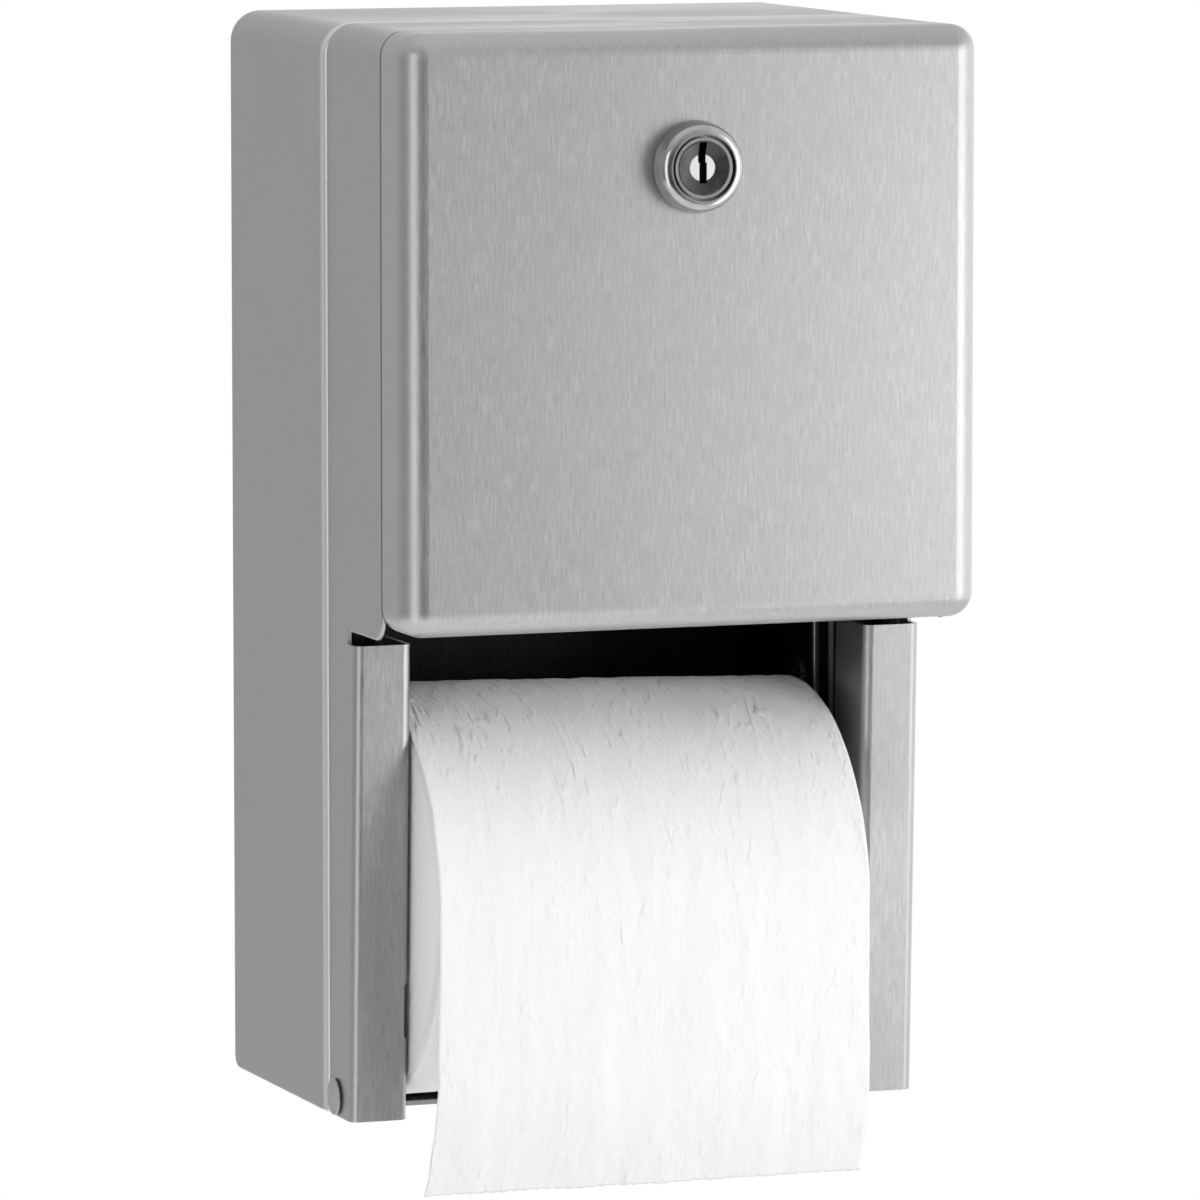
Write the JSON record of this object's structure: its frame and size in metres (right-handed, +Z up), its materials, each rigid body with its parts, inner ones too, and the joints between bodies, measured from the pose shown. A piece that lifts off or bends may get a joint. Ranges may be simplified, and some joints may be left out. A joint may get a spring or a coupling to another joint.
{
  "type": "toilet paper dispenser",
  "caption": "Surface-mounted stainless toilet paper dispenser: lockable drop-front door with a drawn panel, an open front roll and a reserve roll above it on drop cams.",
  "frame": {"origin": "centre of the four wall screw holes, on the plane of the wall", "axes": "+Z up along the cabinet, +Y into the wall, so the front faces -Y"},
  "size_m": [0.1564, 0.1461, 0.297],
  "materials": {
    "satin_stainless": "satin, fine upright grain",
    "bright_steel": "smooth bright",
    "spring_steel": "blued strip",
    "lock_chrome": "polished",
    "lock_plug_nickel": "dark nickel",
    "spindle_plastic": "moulded, fine matt",
    "core_card": "raw card",
    "tissue": "soft, embossed"
  },
  "bodies": {
    "cabinet": {"cabinet_shell": "satin_stainless", "back_plate": "satin_stainless", "floor_plate": "satin_stainless", "guide_left": "satin_stainless", "guide_right": "satin_stainless", "strike_bracket": "satin_stainless", "hinge_rivets": "bright_steel", "hinge_washers": "bright_steel", "cam_pivot_pins": "bright_steel", "cam_clips": "bright_steel", "cam_springs": "spring_steel", "lower_spindle": "spindle_plastic", "reserve_spindle": "spindle_plastic", "paper_tail": "tissue"},
    "door": {"door_frame": "satin_stainless", "door_panel": "satin_stainless", "lock_escutcheon": "lock_chrome", "lock_housing": "lock_chrome", "lock_washer": "bright_steel", "lock_nut": "bright_steel"},
    "lock_bolt": {"lock_plug": "lock_plug_nickel", "lock_cam": "bright_steel", "lock_screw": "bright_steel"},
    "lower_roll": {"lower_core": "core_card", "lower_paper": "tissue"},
    "reserve_roll": {"reserve_core": "core_card", "reserve_paper": "tissue"},
    "left_drop_cam": {"drop_cam_left": "satin_stainless"},
    "right_drop_cam": {"drop_cam_right": "satin_stainless"}
  },
  "joints": [
    {"name": "door_swing", "type": "hinge", "parent": "cabinet", "child": "door", "pos_m": [0, -0.0838, -0.135], "axis": [1, 0, 0], "range_deg": [0, 90]},
    {"name": "lock_turn", "type": "hinge", "parent": "door", "child": "lock_bolt", "pos_m": [0, -0.14, 0.10555], "axis": [0, -1, 0], "range_deg": [0, 90]},
    {"name": "lower_roll_spin", "type": "hinge", "parent": "cabinet", "child": "lower_roll", "pos_m": [0, -0.066, -0.085], "axis": [1, 0, 0], "continuous": true},
    {"name": "reserve_roll_spin", "type": "hinge", "parent": "cabinet", "child": "reserve_roll", "pos_m": [0, -0.066, 0.042], "axis": [1, 0, 0], "continuous": true},
    {"name": "left_cam_rock", "type": "hinge", "parent": "cabinet", "child": "left_drop_cam", "pos_m": [-0.06775, -0.045, -0.035], "axis": [-1, 0, 0], "range_deg": [0, 12]},
    {"name": "right_cam_rock", "type": "hinge", "parent": "cabinet", "child": "right_drop_cam", "pos_m": [0.06775, -0.045, -0.035], "axis": [-1, 0, 0], "range_deg": [0, 12]}
  ],
  "couplings": [
    {"joint": "right_cam_rock", "follows": "left_cam_rock", "ratio": 1}
  ]
}
